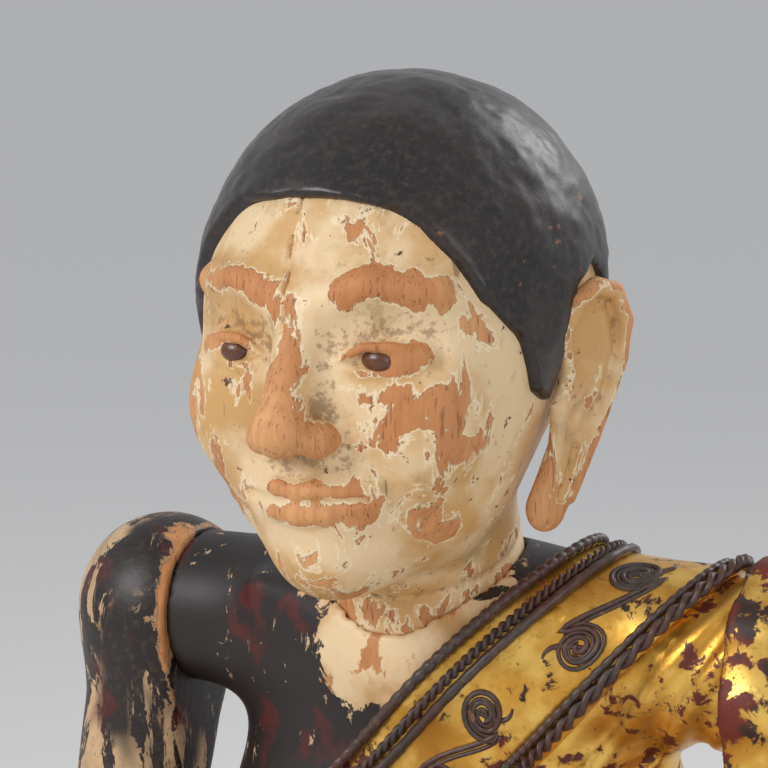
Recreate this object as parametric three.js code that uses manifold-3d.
// A kneeling monk in carved, lacquered and gilded wood, palms pressed together, on a low stepped plinth.
// Millimetres. X runs to the figure's left, Y to its back and Z up. The origin is the middle of the underside.
import * as THREE from "three";
import { mergeVertices } from "three/addons/utils/BufferGeometryUtils.js";
import Module from "manifold-3d";

const wasm = await Module();
wasm.setup();

// Driving dimensions
const gap = 0.3; // play between pieces that meet
const pegPlay = 0.25; // play round a peg in its hole
const plinth = { width: 256, length: 340, corner: 52, footHeight: 16, waistHeight: 20, topHeight: 14 };
const seat = plinth.footHeight + plinth.waistHeight + plinth.topHeight + gap; // the figure kneels at this height
const waistJoint = 130; // the torso block stands on the lap block at this height
const headPlace = [0, -16, 437]; // middle of the head, half way from chin to crown
const headPitch = THREE.MathUtils.degToRad(5); // the head is bowed by this angle
const shoulderHeight = 350; // the line through the two shoulder joints
const rightArmFace = -76; // the bare arm is pegged on against this plane
const leftArmFace = 90; // and the draped arm against this one
const robeEdge = { left: [34, 12, 372], right: [-76, 22, 258] }; // the border's edge beside the neck and armpit
const robeStep = { left: [84, 14, 374], right: [-64, 24, 207] }; // the border's far edge
const borderLift = [0.7, 2.8]; // the raised border lies between these heights over the torso
const cordRadius = 1.7;
const scrollRadius = 1.25;
const scrollCount = 8;

// Vectors and distances. Each distance is negative inside its form.
const vector = (xyz) => new THREE.Vector3(...xyz);
const mix = (a, b, share) => a.map((value, i) => value + (b[i] - value) * share);
const onSide = (side, [x, y, z]) => [side * x, y, z];

function ellipsoid(p, [cx, cy, cz], [rx, ry, rz]) {
  const x = p.x - cx;
  const y = p.y - cy;
  const z = p.z - cz;
  const near = Math.hypot(x / rx, y / ry, z / rz);
  const steep = Math.hypot(x / rx ** 2, y / ry ** 2, z / rz ** 2);
  return steep > 0 ? (near * (near - 1)) / steep : -Math.min(rx, ry, rz);
}

function limb(p, a, b, radiusA, radiusB) {
  const start = vector(a);
  const along = vector(b).sub(start);
  const from = p.clone().sub(start);
  const share = THREE.MathUtils.clamp(from.dot(along) / along.lengthSq(), 0, 1);
  return from.distanceTo(along.multiplyScalar(share)) - (radiusA + (radiusB - radiusA) * share);
}

// Joins distances with a fillet of about the given width.
function blend(width, ...distances) {
  return distances.reduce((a, b) => {
    const overlap = Math.max(width - Math.abs(a - b), 0) / width;
    return Math.min(a, b) - (overlap * overlap * width) / 4;
  });
}

// Solids
function solid(geometry) {
  const bare = geometry.index ? geometry.toNonIndexed() : geometry.clone();
  bare.deleteAttribute("normal");
  bare.deleteAttribute("uv");
  const merged = mergeVertices(bare, 1e-4);
  const corners = [...merged.index.array];
  const whole = [];
  for (let i = 0; i < corners.length; i += 3) {
    const [a, b, c] = corners.slice(i, i + 3);
    if (a !== b && b !== c && c !== a) whole.push(a, b, c);
  }
  const mesh = new wasm.Mesh({
    numProp: 3,
    vertProperties: merged.attributes.position.array,
    triVerts: new Uint32Array(whole),
  });
  return new wasm.Manifold(mesh);
}

function geometryOf(body) {
  const mesh = body.getMesh();
  const geometry = new THREE.BufferGeometry();
  geometry.setAttribute("position", new THREE.BufferAttribute(mesh.vertProperties, 3));
  geometry.setIndex(new THREE.BufferAttribute(mesh.triVerts, 1));
  const faceted = geometry.toNonIndexed();
  faceted.computeVertexNormals();
  return faceted;
}

const cutAway = (body, ...tools) => tools.reduce((left, tool) => left.subtract(tool), body);
const joined = (...bodies) => bodies.reduce((whole, body) => whole.add(body));

function block([x0, y0, z0], [x1, y1, z1]) {
  const box = new THREE.BoxGeometry(x1 - x0, y1 - y0, z1 - z0);
  return solid(box.translate((x0 + x1) / 2, (y0 + y1) / 2, (z0 + z1) / 2));
}

// Turns a geometry whose length runs along +Y so that it runs from a towards b.
function stretchBetween(geometry, a, b) {
  const direction = vector(b).sub(vector(a)).normalize();
  const turn = new THREE.Quaternion().setFromUnitVectors(new THREE.Vector3(0, 1, 0), direction);
  return geometry.applyQuaternion(turn).translate(...a);
}

function round(a, b, radius, sides = 12) {
  const length = vector(a).distanceTo(vector(b));
  const cylinder = new THREE.CylinderGeometry(radius, radius, length, sides).translate(0, length / 2, 0);
  return solid(stretchBetween(cylinder, a, b));
}

const pegHole = (a, b, radius) => round(mix(a, b, -0.04), mix(a, b, 1.04), radius + pegPlay);

function taperedLimb(a, b, radiusA, radiusB, sides = 12) {
  const length = vector(a).distanceTo(vector(b));
  const profile = [];
  const steps = sides > 8 ? 3 : 2;
  for (let i = 0; i <= steps; i += 1) {
    const angle = (i / steps) * (Math.PI / 2);
    profile.push(new THREE.Vector2(radiusA * Math.sin(angle), -radiusA * Math.cos(angle)));
  }
  for (let i = 0; i <= steps; i += 1) {
    const angle = (i / steps) * (Math.PI / 2);
    profile.push(new THREE.Vector2(radiusB * Math.cos(angle), length + radiusB * Math.sin(angle)));
  }
  profile[0].x = 0;
  profile[profile.length - 1].x = 0;
  return solid(stretchBetween(new THREE.LatheGeometry(profile, sides), a, b));
}

function ball(centre, radii, around = 12, down = 8) {
  return solid(new THREE.SphereGeometry(1, around, down).scale(...radii).translate(...centre));
}

// How far the surface of a field lies from a point inside it, looking along a direction.
function reachAlong(field, from, direction, farthest = 260) {
  const at = (distance) => field(from.clone().addScaledVector(direction, distance));
  let outside = farthest;
  const stride = 3;
  while (outside > stride && at(outside - stride) > 0) outside -= stride;
  let inside = outside - stride;
  for (let i = 0; i < 24; i += 1) {
    const middle = (inside + outside) / 2;
    if (at(middle) > 0) outside = middle;
    else inside = middle;
  }
  return inside;
}

// A sphere whose vertices are pushed along their rays from the centre to the surface of a field.
// A focus between 0 and 1 crowds the vertices towards the front.
function wrapped(field, centre, spread, around, down, focus = 0) {
  const sphere = new THREE.SphereGeometry(1, around, down);
  const position = sphere.getAttribute("position");
  const from = vector(centre);
  for (let i = 0; i < position.count; i += 1) {
    const direction = new THREE.Vector3().fromBufferAttribute(position, i).multiply(vector(spread)).normalize();
    const level = Math.hypot(direction.x, direction.y);
    const bearing = Math.atan2(direction.x, -direction.y);
    const turned = bearing - focus * Math.sin(bearing);
    direction.set(level * Math.sin(turned), -level * Math.cos(turned), direction.z);
    const end = from.clone().addScaledVector(direction, reachAlong(field, from, direction));
    position.setXYZ(i, end.x, end.y, end.z);
  }
  return solid(sphere);
}

// Forms of the torso, the lap and the head
const torsoField = (p) =>
  blend(
    22,
    ellipsoid(p, [0, 44, 128], [74, 58, 56]),
    ellipsoid(p, [0, 35, 195], [58, 42, 62]),
    ellipsoid(p, [0, 24, 286], [68, 46, 70]),
    limb(p, [-80, 16, shoulderHeight], [94, 16, shoulderHeight], 21, 22),
    ellipsoid(p, [0, 12, 352], [46, 32, 22]),
  );

const kneeOf = (side) => [side * 50, -94, 84];
const hipOf = (side) => [side * 42, 42, 98];

const lapField = (p) =>
  blend(
    20,
    ellipsoid(p, [0, 50, 100], [82, 62, 62]),
    limb(p, hipOf(1), kneeOf(1), 44, 33),
    limb(p, hipOf(-1), kneeOf(-1), 44, 33),
    limb(p, [48, -90, 74], [40, 82, 72], 28, 30),
    limb(p, [-48, -90, 74], [-40, 82, 72], 28, 30),
    ellipsoid(p, [0, -30, 66], [84, 92, 40]),
  );

// The head's own frame: origin half way from chin to crown, the face towards -Y.
const cheek = (p, side) => ellipsoid(p, [side * 22, -33, -16], [18, 14, 18]);
const browRidge = (p, side) => limb(p, [side * 9, -45, 16], [side * 32, -34, 15], 4, 3);
const noseWing = (p, side) => ellipsoid(p, [side * 7.5, -55, -19], [5, 6, 5]);

const headField = (p) => {
  const skull = blend(
    14,
    ellipsoid(p, [0, 9, 12], [49, 54, 50]),
    ellipsoid(p, [0, -8, -10], [43, 43, 50]),
    ellipsoid(p, [0, -16, -36], [33, 30, 25]),
    ellipsoid(p, [0, -37, -50], [13, 13, 12.5]),
  );
  const features = blend(
    5,
    cheek(p, 1),
    cheek(p, -1),
    browRidge(p, 1),
    browRidge(p, -1),
    limb(p, [0, -47, 12], [0, -60, -16], 4.5, 7),
    noseWing(p, 1),
    noseWing(p, -1),
    ellipsoid(p, [0, -48, -34], [17, 7, 7]),
  );
  return blend(6, skull, features);
};

// Places shared by pieces that meet
const shoulderOf = (side) => [side * (side < 0 ? 88 : 96), 16, shoulderHeight - 1];
const elbowOf = (side) => [side * 102, 2, 230];
const wristOf = (side) => [side * 15, -78, 250];
const forearmStart = (side) => mix(elbowOf(side), wristOf(side), 0.16);
const forearmEnd = (side) => mix(elbowOf(side), wristOf(side), 0.9);
const fingerLine = new THREE.Vector3(0, -0.34, 0.94).normalize(); // the pressed palms lean forward along this line
const fingerSpread = new THREE.Vector3(0, 0.94, 0.34).normalize(); // across the palm, from little finger to thumb
const eyeDepth = 1.4; // an eye bead's middle lies this far under the face

const materials = {
  bareWood: new THREE.MeshStandardMaterial({ color: 0xb07a48, roughness: 0.8 }),
  paintedSkin: new THREE.MeshStandardMaterial({ color: 0xdcb98a, roughness: 0.75 }),
  darkSkin: new THREE.MeshStandardMaterial({ color: 0x3a2c28, roughness: 0.55 }),
  blackLacquer: new THREE.MeshStandardMaterial({ color: 0x1f1b19, roughness: 0.4 }),
  gildedRobe: new THREE.MeshStandardMaterial({ color: 0xc8963e, roughness: 0.4, metalness: 0.6 }),
  reliefLacquer: new THREE.MeshStandardMaterial({ color: 0x4a403b, roughness: 0.5 }),
  eyeLacquer: new THREE.MeshStandardMaterial({ color: 0x4b2a1c, roughness: 0.35 }),
  plinthLacquer: new THREE.MeshStandardMaterial({ color: 0x5c1a12, roughness: 0.5 }),
};

const monk = new THREE.Group();
const headGroup = new THREE.Group();
headGroup.position.set(...headPlace);
headGroup.rotation.x = headPitch;
monk.add(headGroup);

function add(name, body, material, parent = monk) {
  const mesh = new THREE.Mesh(geometryOf(body), material);
  mesh.name = name;
  parent.add(mesh);
}

const inWorld = (body) => body.rotate([THREE.MathUtils.radToDeg(headPitch), 0, 0]).translate(headPlace);

// Plinth: three boards, each with rounded corners, pinned through at four places
function board(width, length, corner, height, bevel) {
  const x = width / 2 - bevel;
  const y = length / 2 - bevel;
  const shape = new THREE.Shape();
  shape.absarc(x - corner, y - corner, corner, 0, Math.PI / 2);
  shape.absarc(corner - x, y - corner, corner, Math.PI / 2, Math.PI);
  shape.absarc(corner - x, corner - y, corner, Math.PI, 1.5 * Math.PI);
  shape.absarc(x - corner, corner - y, corner, 1.5 * Math.PI, 2 * Math.PI);
  const extrusion = new THREE.ExtrudeGeometry(shape, {
    depth: height - 2 * bevel,
    bevelThickness: bevel,
    bevelSize: bevel,
    bevelSegments: 1,
    curveSegments: 3,
  });
  return solid(extrusion.translate(0, 0, bevel));
}

const waistBottom = plinth.footHeight;
const topBottom = plinth.footHeight + plinth.waistHeight;
const topTop = topBottom + plinth.topHeight;
const plinthPins = [
  ["front_left", 84, -120],
  ["front_right", -84, -120],
  ["rear_left", 84, 120],
  ["rear_right", -84, 120],
].map(([name, x, y]) => ({ name, low: [x, y, 5], high: [x, y, topTop - 4], radius: 4 }));
const plinthHoles = plinthPins.map(({ low, high, radius }) => pegHole(low, high, radius));
const figurePins = [
  ["front", -60],
  ["rear", 64],
].map(([name, y]) => ({ name, low: [0, y, waistBottom + 8], high: [0, y, seat + 26], radius: 7 }));
const figureHoles = figurePins.map(({ low, high, radius }) => pegHole(low, high, radius));

const footBoard = board(plinth.width, plinth.length, plinth.corner, plinth.footHeight, 3);
const waistBoard = board(plinth.width - 26, plinth.length - 26, plinth.corner - 10, plinth.waistHeight, 1);
const topBoard = board(plinth.width - 8, plinth.length - 8, plinth.corner - 4, plinth.topHeight, 3);
add("plinth_foot_board", cutAway(footBoard, ...plinthHoles), materials.plinthLacquer);
const waistPlaced = waistBoard.translate([0, 0, waistBottom]);
add("plinth_waist_block", cutAway(waistPlaced, ...plinthHoles, ...figureHoles), materials.blackLacquer);
const topPlaced = topBoard.translate([0, 0, topBottom]);
add("plinth_top_board", cutAway(topPlaced, ...plinthHoles, ...figureHoles), materials.plinthLacquer);
for (const { name, low, high, radius } of plinthPins) {
  add(`plinth_pin_${name}`, round(low, high, radius, 10), materials.bareWood);
}
for (const { name, low, high, radius } of figurePins) {
  add(`figure_pin_${name}`, round(low, high, radius), materials.bareWood);
}

// Lap and torso: two blocks with a loose square tenon between them
const everything = 400;
const waistTenon = { low: [-20, 16, waistJoint - 32], high: [20, 56, waistJoint + 32] };
const waistMortise = block(
  waistTenon.low.map((value) => value - gap),
  waistTenon.high.map((value) => value + gap),
);
add("waist_tenon", block(waistTenon.low, waistTenon.high), materials.bareWood);

const footPegs = [1, -1].map((side) => ({
  side,
  start: [side * 31, 78, 74],
  end: [side * 31, 112, 74],
  radius: 4,
}));
const footHoles = footPegs.map(({ start, end, radius }) => pegHole(start, end, radius));
const lapWrap = (grow) => wrapped((p) => lapField(p) - grow, [0, -6, 82], [1, 1.3, 0.7], 24, 18);
const lapWhole = lapWrap(0);
const lapTrimmed = lapWhole.intersect(block([-everything, -everything, seat], [everything, everything, waistJoint]));
add("lap_block", cutAway(lapTrimmed, waistMortise, ...figureHoles, ...footHoles), materials.gildedRobe);

const armPegs = {
  right: { start: [rightArmFace + 22, 16, shoulderHeight], end: [rightArmFace - 20, 16, shoulderHeight - 2] },
  left: { start: [leftArmFace - 22, 16, shoulderHeight], end: [leftArmFace + 15, 16, shoulderHeight - 2] },
};
const armPegRadius = 5;
const armPegHoles = Object.values(armPegs).map(({ start, end }) => pegHole(start, end, armPegRadius));
const neckFoot = -96; // the neck's flat end, in the head's frame
const neckTenonFoot = neckFoot - 32;
const neckAt = (z) => [0, 8 + ((-40 - z) * 13) / 64, z];
const neckBody = (grow) => {
  const shaft = taperedLimb(neckAt(-36), neckAt(-118), 26 + grow, 27.5 + grow, 18);
  return shaft.intersect(block([-60, -60, neckFoot - grow], [60, 80, 0]));
};
const neckTenon = (grow) => {
  const [, y] = neckAt(neckFoot);
  return block([-15 - grow, y - 15 - grow, neckTenonFoot - grow], [15 + grow, y + 15 + grow, neckFoot + 10]);
};
const neckPeg = { start: [0, 46, 326], end: [0, -2, 326], radius: 3 };
const neckPegHole = pegHole(neckPeg.start, neckPeg.end, neckPeg.radius);
const torsoWrap = (grow) => wrapped((p) => torsoField(p) - grow, [0, 26, 244], [1, 0.8, 1.35], 24, 20);
const torsoWhole = torsoWrap(0);
const torsoTrimmed = torsoWhole.intersect(
  block([rightArmFace, -everything, waistJoint + gap], [leftArmFace, everything, everything]),
);
const torsoBody = cutAway(
  torsoTrimmed,
  waistMortise,
  inWorld(neckBody(0.4)),
  inWorld(neckTenon(0.4)),
  neckPegHole,
  ...armPegHoles,
);
add("torso_block", torsoBody, materials.darkSkin);
add("neck_peg", round(neckPeg.start, neckPeg.end, neckPeg.radius, 10), materials.bareWood);
for (const [name, { start, end }] of Object.entries(armPegs)) {
  add(`${name}_shoulder_peg`, round(start, end, armPegRadius), materials.bareWood);
}

// Head: skull, face, neck and tenon in one block, with sockets for the eye beads and the ear tongues
const headSegments = [26, 20];
const headWrap = (grow) => wrapped((p) => headField(p) - grow, [0, 2, 0], [1, 1, 1.1], ...headSegments, 0.5);
const eyeOf = (side) => {
  const from = vector([side * 20, 0, 1]);
  return [side * 20, eyeDepth - reachAlong(headField, from, new THREE.Vector3(0, -1, 0), 80), 1];
};
const eyeBead = (side, grow) => ball(eyeOf(side), [4.4 + grow, 3 + grow, 3.2 + grow], 10, 8);
const earTongue = (side, grow) => {
  const reach = [side * (34 - grow), side * (50 + grow)].sort((a, b) => a - b);
  return block([reach[0], 5 - grow, -12 - grow], [reach[1], 13 + grow, 6 + grow]);
};
const outward = new THREE.Matrix4().makeRotationX(-headPitch).setPosition(0, 0, 0);
const pegInHead = (() => {
  const toHead = (point) => vector(point).sub(vector(headPlace)).applyMatrix4(outward).toArray();
  return pegHole(toHead(neckPeg.start), toHead(neckPeg.end), neckPeg.radius);
})();
const headBody = cutAway(
  joined(headWrap(0), neckBody(0), neckTenon(0)),
  pegInHead,
  ...[1, -1].flatMap((side) => [eyeBead(side, gap), earTongue(side, gap)]),
);
add("head", headBody, materials.paintedSkin, headGroup);
for (const [name, side] of [["left", 1], ["right", -1]]) {
  add(`${name}_eye_bead`, eyeBead(side, 0), materials.eyeLacquer, headGroup);
}

// Hair: a lacquer shell over the skull, whose edge is drawn from the side and runs straight over the brow
const hairThickness = 3;
const hairOutline = [
  [-70, 41], [-40, 40.5], [-34, 37], [-31, 26], [-27, 13], [-19, 4], [-12, -12], [-5, -16],
  [0, -2], [4, 12], [16, 17], [27, 8], [30, -16], [30, -40], [80, -44], [80, 80], [-70, 80],
];
const hairShape = new THREE.Shape(hairOutline.map(([y, z]) => new THREE.Vector2(y, z)));
const hairRegion = (() => {
  const slab = new THREE.ExtrudeGeometry(hairShape, { depth: 140, bevelEnabled: false });
  const sideways = new THREE.Matrix4().makeBasis(vector([0, 1, 0]), vector([0, 0, 1]), vector([1, 0, 0]));
  return solid(slab.applyMatrix4(sideways).translate(-70, 0, 0));
})();
const hairShell = headWrap(hairThickness).intersect(hairRegion).subtract(headWrap(gap));
const hairBody = hairShell.subtract(neckBody(gap));
add("hair_shell", hairBody, materials.blackLacquer, headGroup);

// Ears: long-lobed, each a carved slip with a tongue let into the head
const earOutline = [
  [0, 16], [6, 20], [14, 20], [20, 14], [20, 2], [15, -14], [9, -30], [4, -42], [-4, -45], [-9, -40],
  [-7, -30], [-3, -16], [-1, 0],
];
const earStandOff = THREE.MathUtils.degToRad(24);
const earTilt = THREE.MathUtils.degToRad(9); // the ear's top leans back
const earRoot = [46.5, 2, -6];
function earBody(side) {
  const rim = new THREE.CatmullRomCurve3(earOutline.map(([y, z]) => new THREE.Vector3(y, z, 0)), true);
  const outline = rim.getPoints(20).map(({ x, y }) => new THREE.Vector2(x, y));
  const slip = new THREE.ExtrudeGeometry(new THREE.Shape(outline), {
    depth: 3,
    bevelThickness: 2.2,
    bevelSize: 2,
    bevelOffset: -2,
    bevelSegments: 1,
  });
  const upright = new THREE.Matrix4().makeBasis(vector([0, 1, 0]), vector([0, 0, 1]), vector([1, 0, 0]));
  slip.applyMatrix4(upright).rotateX(-earTilt).rotateZ(-earStandOff).translate(...earRoot);
  const onRight = side < 0 ? solid(slip).mirror([1, 0, 0]) : solid(slip);
  const tongue = earTongue(side, 0);
  return joined(onRight.subtract(headWrap(gap)), tongue).subtract(hairGrown);
}
const hairGrown = headWrap(hairThickness + gap).intersect(hairRegion);
for (const [name, side] of [["left", 1], ["right", -1]]) {
  add(`${name}_ear`, earBody(side), materials.paintedSkin, headGroup);
}

// Arms: upper arm, forearm and hand, pegged at shoulder, elbow and wrist
// Each joint has two flat faces. A cut with sense 1 takes all that lies past the joint towards the hand.
const towardsHand = (side) => vector(wristOf(side)).sub(vector(elbowOf(side))).normalize();
function jointCut(place, normal, sense, reach, radius) {
  const face = vector(place).addScaledVector(normal, (-sense * gap) / 2);
  const past = face.clone().addScaledVector(normal, sense * reach);
  return round(face.toArray(), past.toArray(), radius, 8);
}
const elbowCut = (side, sense) => jointCut(forearmStart(side), towardsHand(side), sense, 140, 32);
const wristNormal = (side) => towardsHand(side).add(fingerLine).normalize();
const wristCut = (side, sense) => jointCut(forearmEnd(side), wristNormal(side), sense, 110, 60);
const along = (side, share) => mix(elbowOf(side), wristOf(side), share);
const elbowPeg = (side) => ({ start: along(side, 0.03), end: along(side, 0.3), radius: 3.5 });
const wristPegEnds = (side) => {
  const joint = vector(forearmEnd(side));
  return {
    start: joint.clone().addScaledVector(wristNormal(side), -9).toArray(),
    end: joint.clone().addScaledVector(wristNormal(side), 11).toArray(),
    radius: 2.5,
  };
};
const hole = ({ start, end, radius }) => pegHole(start, end, radius);
const halfSpace = {
  "-1": block([-everything, -everything, 0], [rightArmFace - gap, everything, everything]),
  1: block([leftArmFace + gap, -everything, 0], [everything, everything, everything]),
};

function upperArm(side, thick) {
  const shoulder = shoulderOf(side);
  const shaft = taperedLimb(shoulder, elbowOf(side), 20 + thick, 16.5 + thick);
  const whole = joined(shaft, ball(shoulder, [24 + thick, 24 + thick, 25 + thick]));
  const pegs = hole({ ...armPegs[side < 0 ? "right" : "left"], radius: armPegRadius });
  const faced = whole.intersect(halfSpace[side]);
  return cutAway(faced, elbowCut(side, 1), pegs, hole(elbowPeg(side)));
}

function forearm(side, thick) {
  const shaft = taperedLimb(elbowOf(side), wristOf(side), 16.5 + thick, 11.5 + thick / 2);
  return cutAway(shaft, elbowCut(side, -1), wristCut(side, 1), hole(elbowPeg(side)), hole(wristPegEnds(side)));
}

// A hand pressed flat against the other along the plane x = 0
const fingers = [
  { across: -11.5, length: 66, radius: 4.2 },
  { across: -4, length: 77, radius: 4.7 },
  { across: 4, length: 81, radius: 4.8 },
  { across: 11.5, length: 75, radius: 4.6 },
];
const palmAt = (side, up, across, out) => {
  const wrist = [0, wristOf(side)[1] + 2, wristOf(side)[2] + 2];
  const point = vector(wrist).addScaledVector(fingerLine, up).addScaledVector(fingerSpread, across);
  return [side * out, point.y, point.z];
};
const palmPeg = { start: palmAt(-1, 26, 0, 6), end: palmAt(1, 26, 0, 6), radius: 2 };

function hand(side) {
  const shafts = fingers.map(({ across, length, radius }) =>
    taperedLimb(palmAt(side, 34, across, 4), palmAt(side, length, across * 0.86, 3.6), radius, radius * 0.8, 6),
  );
  const thumb = taperedLimb(palmAt(side, 14, 15, 6), palmAt(side, 50, 20, 4.2), 6, 4.2, 6);
  const palm = taperedLimb(palmAt(side, 18, 1, 5.5), palmAt(side, 34, 0, 4.5), 15, 15.5, 12);
  const flatPalm = palm.intersect(block([-12, -everything, 0], [12, everything, everything]));
  const heel = taperedLimb(forearmEnd(side), palmAt(side, 14, 0, 6), 11.2, 11, 12);
  const whole = joined(flatPalm, heel, thumb, ...shafts);
  const own = side < 0
    ? block([-everything, -everything, 0], [-gap / 2, everything, everything])
    : block([gap / 2, -everything, 0], [everything, everything, everything]);
  return cutAway(whole.intersect(own), wristCut(side, -1), hole(wristPegEnds(side)), hole(palmPeg));
}

add("right_upper_arm", upperArm(-1, 0), materials.darkSkin);
add("right_forearm", forearm(-1, 0), materials.darkSkin);
add("right_hand", hand(-1), materials.paintedSkin);
add("left_draped_arm", upperArm(1, 3), materials.gildedRobe);
const drapedForearm = forearm(1, 5);
add("left_draped_forearm", drapedForearm, materials.gildedRobe);
add("left_hand", hand(1), materials.paintedSkin);
for (const [name, side] of [["left", 1], ["right", -1]]) {
  const elbow = elbowPeg(side);
  const wrist = wristPegEnds(side);
  add(`${name}_elbow_peg`, round(elbow.start, elbow.end, elbow.radius, 10), materials.bareWood);
  add(`${name}_wrist_peg`, round(wrist.start, wrist.end, wrist.radius, 8), materials.bareWood);
}
add("palm_peg", round(palmPeg.start, palmPeg.end, palmPeg.radius, 8), materials.bareWood);

// Robe fall: a pleated board that hangs from the draped forearm to the lap
const fallPleats = 5;
const fallThickness = 9;
const fallStart = along(1, 0.02);
const fallEnd = along(1, 0.72);
const fallLine = (share, offset) => {
  const [x, y] = mix(fallStart, fallEnd, share);
  const pleat = 3 * Math.sin(share * fallPleats * 2 * Math.PI);
  const [dx, dy] = [fallEnd[0] - fallStart[0], fallEnd[1] - fallStart[1]];
  const length = Math.hypot(dx, dy);
  return new THREE.Vector2(x - (dy / length) * (offset + pleat), y + (dx / length) * (offset + pleat));
};
const fallSteps = Array.from({ length: 21 }, (_, i) => i / 20);
const fallOutline = [
  ...fallSteps.map((share) => fallLine(share, -fallThickness / 2)),
  ...[...fallSteps].reverse().map((share) => fallLine(share, fallThickness / 2)),
];
const fallBoard = solid(
  new THREE.ExtrudeGeometry(new THREE.Shape(fallOutline), { depth: 142, bevelEnabled: false }).translate(0, 0, 92),
);
const lapGrown = lapWrap(0.8);
const torsoGrown = torsoWrap(0.8);
const forearmGrown = taperedLimb(elbowOf(1), wristOf(1), 16.5 + 5 + gap, 11.5 + 2.5 + gap);
const upperArmGrown = taperedLimb(shoulderOf(1), elbowOf(1), 23.5, 19.5 + gap);
const fallBelow = fallBoard.intersect(block([0, -everything, 92], [everything, everything, 240]));
const fallCut = cutAway(fallBelow, forearmGrown, upperArmGrown, lapGrown, torsoGrown);
const fallPieces = fallCut.decompose().sort((a, b) => b.volume() - a.volume());
add("robe_fall", fallPieces[0], materials.gildedRobe);

// Feet: soles up behind the robe, each pegged into the lap block
const toes = [-11, -5.5, 0, 5, 9.5];
function foot(side, peg) {
  const middle = side * 31;
  const heel = ball([middle, 112, 72], [15, 18, 17], 10, 6);
  const sole = taperedLimb([middle, 112, 70], [middle - side * 3, 138, 61], 13.5, 11, 8);
  const toeBodies = toes.map((across, i) => {
    const reach = 147 + (i === 0 ? 3 : 3 - i);
    const x = middle - side * 3 + side * across;
    return taperedLimb([x, 138, 58], [x, reach, 55.5], 4.6 - 0.2 * i, 4.4 - 0.3 * i, 5);
  });
  const whole = joined(heel, sole, ...toeBodies);
  const above = whole.intersect(block([-everything, 0, seat], [everything, everything, everything]));
  return cutAway(above, lapGrown, hole(peg));
}
for (const peg of footPegs) {
  const name = peg.side > 0 ? "left" : "right";
  add(`${name}_foot`, foot(peg.side, peg), materials.paintedSkin);
  add(`${name}_foot_peg`, round(peg.start, peg.end, peg.radius, 8), materials.bareWood);
}

// Robe border: a raised lacquer band laid slantwise round the torso, under the right arm and over the left shoulder
const wholeTurn = 2 * Math.PI;
// turn 0 is on the left shoulder, 0.25 on the breast, 0.5 under the right arm; across runs from the robe's edge.
function borderPoint(turn, across, lift) {
  const left = vector(mix(robeEdge.left, robeStep.left, across));
  const right = vector(mix(robeEdge.right, robeStep.right, across));
  const slant = left.clone().sub(right).normalize();
  const forward = new THREE.Vector3(0, -1, 0);
  const direction = slant.multiplyScalar(Math.cos(turn * wholeTurn));
  direction.addScaledVector(forward, Math.sin(turn * wholeTurn)).normalize();
  const middle = left.add(right).multiplyScalar(0.5);
  const lifted = (p) => torsoField(p) - lift;
  return middle.clone().addScaledVector(direction, reachAlong(lifted, middle, direction, 160));
}

// The turn at which a given share of the border's length has been walked, so that scrolls are spaced evenly.
const walkSteps = 180;
const walked = [0];
for (let i = 1; i <= walkSteps; i += 1) {
  const step = borderPoint(i / walkSteps, 0.5, 3).distanceTo(borderPoint((i - 1) / walkSteps, 0.5, 3));
  walked.push(walked[i - 1] + step);
}
const borderLength = walked[walkSteps];
function borderWidthAt(distance) {
  const turn = turnAt(distance);
  return borderPoint(turn, 0, 3).distanceTo(borderPoint(turn, 1, 3));
}
function turnAt(distance) {
  const rest = ((distance % borderLength) + borderLength) % borderLength;
  const i = walked.findIndex((value) => value > rest);
  return (i - 1 + (rest - walked[i - 1]) / (walked[i] - walked[i - 1])) / walkSteps;
}

function borderBand() {
  const turns = 56;
  const across = [0, 0.33, 0.67, 1];
  const rings = Array.from({ length: turns }, (_, i) => {
    const turn = turnAt((i / turns) * borderLength);
    return [
      ...across.map((share) => borderPoint(turn, share, borderLift[1])),
      ...[...across].reverse().map((share) => borderPoint(turn, share, borderLift[0])),
    ];
  });
  const count = rings[0].length;
  const triangles = [];
  rings.forEach((ring, i) => {
    const next = rings[(i + 1) % turns];
    ring.forEach((corner, j) => {
      const k = (j + 1) % count;
      triangles.push(corner, next[j], next[k], corner, next[k], ring[k]);
    });
  });
  const body = solid(new THREE.BufferGeometry().setFromPoints(triangles));
  return body.volume() < 0 ? flipped(triangles) : body;
}
function flipped(triangles) {
  const turned = [];
  for (let i = 0; i < triangles.length; i += 3) turned.push(triangles[i], triangles[i + 2], triangles[i + 1]);
  return solid(new THREE.BufferGeometry().setFromPoints(turned));
}

// Rolled lacquer strings laid on the band
const stringLift = (radius) => borderLift[1] + radius + 0.75;
function rolledString(points, radius, steps, sides) {
  const corners = Array.from({ length: sides }, (_, i) => {
    const angle = (i / sides) * wholeTurn;
    return new THREE.Vector2(radius * Math.cos(angle), radius * Math.sin(angle));
  });
  return solid(
    new THREE.ExtrudeGeometry(new THREE.Shape(corners), {
      steps,
      extrudePath: new THREE.CatmullRomCurve3(points),
      bevelEnabled: false,
    }),
  );
}

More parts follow.
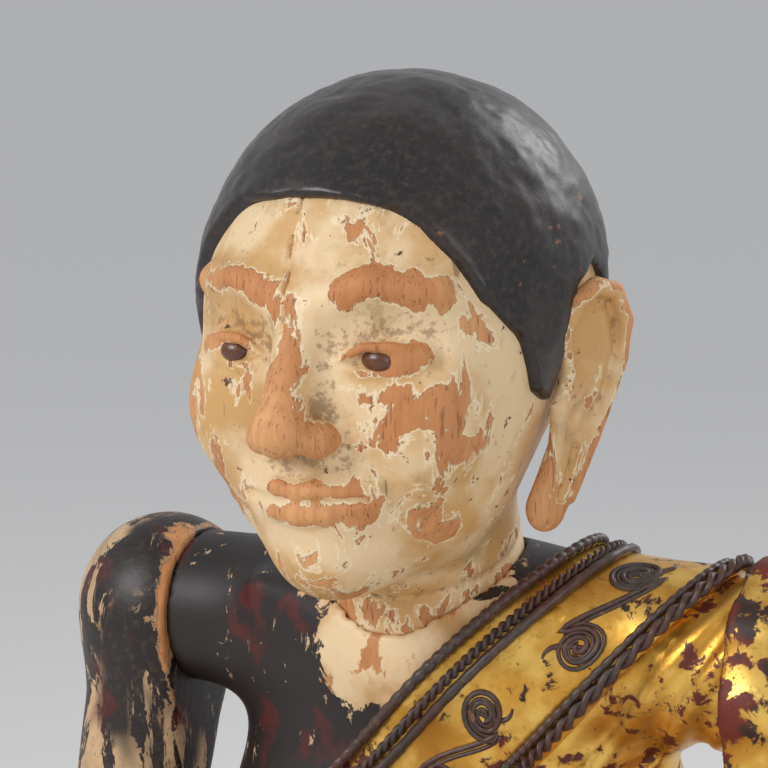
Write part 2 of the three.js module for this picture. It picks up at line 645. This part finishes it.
// The strings butt at the back, under the left shoulder.
const seamShare = 0.86;
const stringRows = [
  ["robe_edge_string", 0.05, cordRadius],
  ["inner_string_upper", 0.2, 1.4],
  ["inner_string_lower", 0.285, 1.4],
  ["outer_string_thin", 0.875, 1.2],
  ["outer_string_thick", 0.96, 1.8],
];
const seamPlace = seamShare * borderLength;
const stringPoints = 40;
function longString(across, radius, grow) {
  const points = Array.from({ length: stringPoints + 1 }, (_, i) => {
    const place = seamPlace + 1 + ((borderLength - 2) * i) / stringPoints;
    return borderPoint(turnAt(place), across, stringLift(radius));
  });
  return rolledString(points, radius + grow, stringPoints, 4);
}

// Scrolls: each one rolled string, an S that ends in a spiral on both sides of the band's middle line
const scrollPitch = borderLength / scrollCount;
const scrollHalf = { along: 12.5, across: 0.06 }; // from the S's middle to each spiral's middle
const scrollMiddle = 0.595;
const spiralRadii = [3.4, 6]; // less than a whole turn, so the string never meets itself
const turnsOfSpiral = 0.86;
const spiralSteps = 6;
const scrollSteps = 18;
function spiralPath() {
  return Array.from({ length: spiralSteps + 1 }, (_, i) => {
    const share = i / spiralSteps;
    const radius = spiralRadii[0] + (spiralRadii[1] - spiralRadii[0]) * share;
    const angle = wholeTurn / 4 - (1 - share) * turnsOfSpiral * wholeTurn;
    return [radius * Math.cos(angle), radius * Math.sin(angle)];
  });
}
function scroll(index, grow) {
  const start = seamPlace + (index + 0.5) * scrollPitch;
  const width = borderWidthAt(start);
  const curl = spiralPath().map(([a, b]) => [a - scrollHalf.along, b / width - scrollHalf.across]);
  const mirrored = [...curl].reverse().map(([a, b]) => [-a, -b]);
  const points = [...curl, ...mirrored].map(([a, b]) =>
    borderPoint(turnAt(start + a), scrollMiddle + b, stringLift(scrollRadius)),
  );
  return rolledString(points, scrollRadius + grow, scrollSteps, 4);
}
const scrollNumbers = Array.from({ length: scrollCount }, (_, i) => i);
for (const [name, across, radius] of stringRows) {
  add(name, longString(across, radius, 0), materials.reliefLacquer);
}
for (const i of scrollNumbers) {
  add(`scroll_${String(i + 1).padStart(2, "0")}`, scroll(i, 0), materials.reliefLacquer);
}
const stringBeds = [
  ...stringRows.map(([, across, radius]) => longString(across, radius, gap)),
  ...scrollNumbers.map((i) => scroll(i, gap)),
];
const bandCut = cutAway(borderBand(), torsoWrap(gap), ...stringBeds);
add("robe_border_band", bandCut, materials.gildedRobe);

export default monk;
